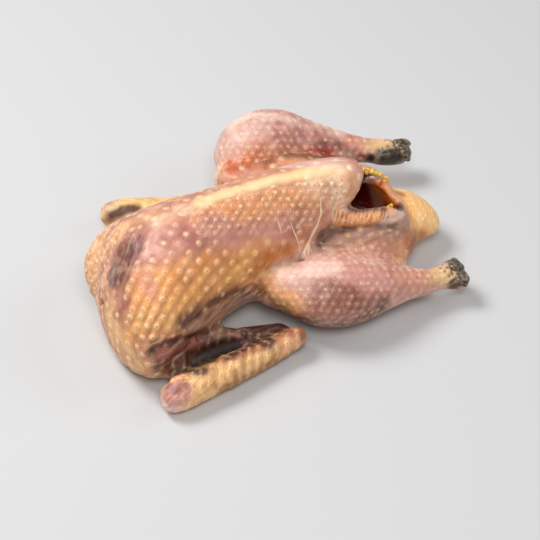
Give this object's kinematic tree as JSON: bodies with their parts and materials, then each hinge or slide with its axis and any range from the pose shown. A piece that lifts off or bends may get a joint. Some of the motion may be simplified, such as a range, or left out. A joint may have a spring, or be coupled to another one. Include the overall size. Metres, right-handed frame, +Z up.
{
  "type": "whole guinea fowl",
  "caption": "Whole raw plucked guinea fowl lying on its back, with a keel ridge, folded wings, bare shank ends and an open body cavity.",
  "frame": {"origin": "on the surface that the bird lies on, under the middle of its box", "axes": "+X from the neck to the tail, +Y from the wing that lies flat to the leg that stands higher, +Z up"},
  "size_m": [0.2347, 0.1937, 0.0815],
  "materials": {
    "skin": "moist raw skin, satin to glossy"
  },
  "bodies": {
    "root": {"guinea_fowl": "skin"}
  },
  "joints": []
}
